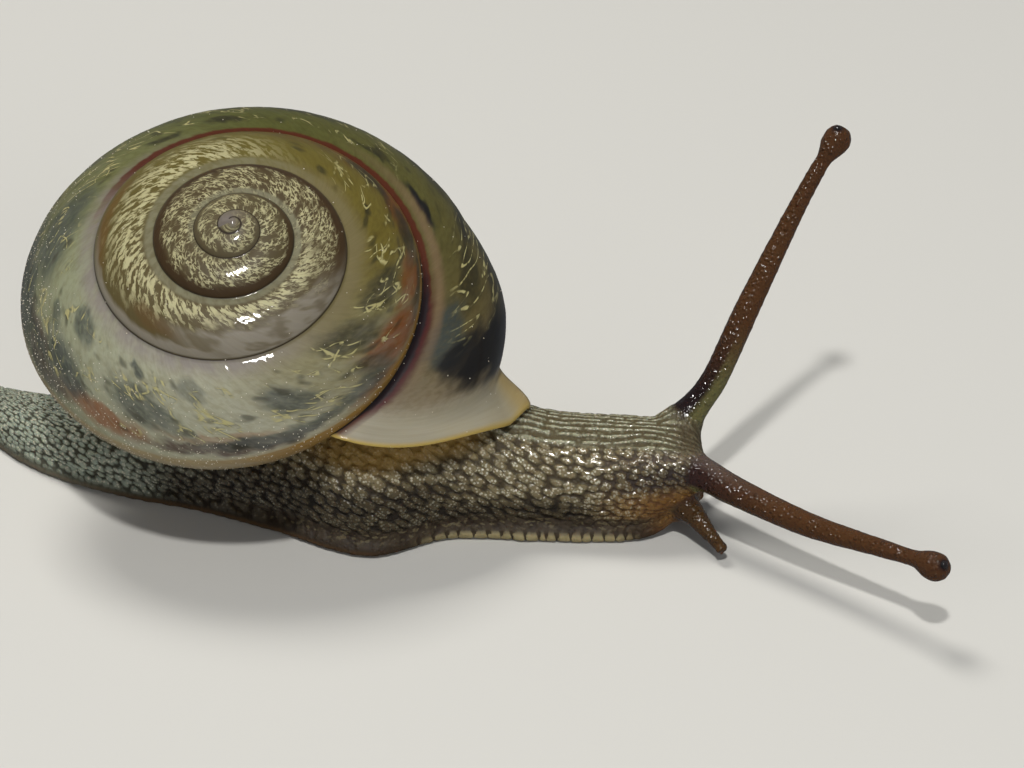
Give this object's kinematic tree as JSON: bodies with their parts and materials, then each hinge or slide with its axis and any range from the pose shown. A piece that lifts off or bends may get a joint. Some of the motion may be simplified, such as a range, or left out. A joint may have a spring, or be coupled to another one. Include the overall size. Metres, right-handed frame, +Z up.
{
  "type": "banded land snail",
  "caption": "Life-size model of a crawling land snail with a low, coiled, banded shell, its neck stretched forward and both pairs of tentacles out.",
  "frame": {"origin": "on the sole's flat underside, below the middle of the foot", "axes": "+X towards the head, +Y to the animal's left, +Z up"},
  "size_m": [0.0545, 0.0227, 0.019],
  "materials": {
    "shell": "gloss",
    "mantle": "wet",
    "skin": "wet",
    "tentacle": "wet",
    "eye": "gloss"
  },
  "bodies": {
    "root": {"shell": "shell", "mantle_collar": "mantle", "tail": "skin", "foot": "skin", "neck": "skin", "head": "skin", "mouth": "skin", "upper_tentacle_left_root": "tentacle", "upper_tentacle_left_shaft": "tentacle", "eye_bulb_left": "tentacle", "eye_left": "eye", "upper_tentacle_right_root": "tentacle", "upper_tentacle_right_shaft": "tentacle", "eye_bulb_right": "tentacle", "eye_right": "eye", "lower_tentacle_left": "tentacle", "lower_tentacle_right": "tentacle"}
  },
  "joints": []
}
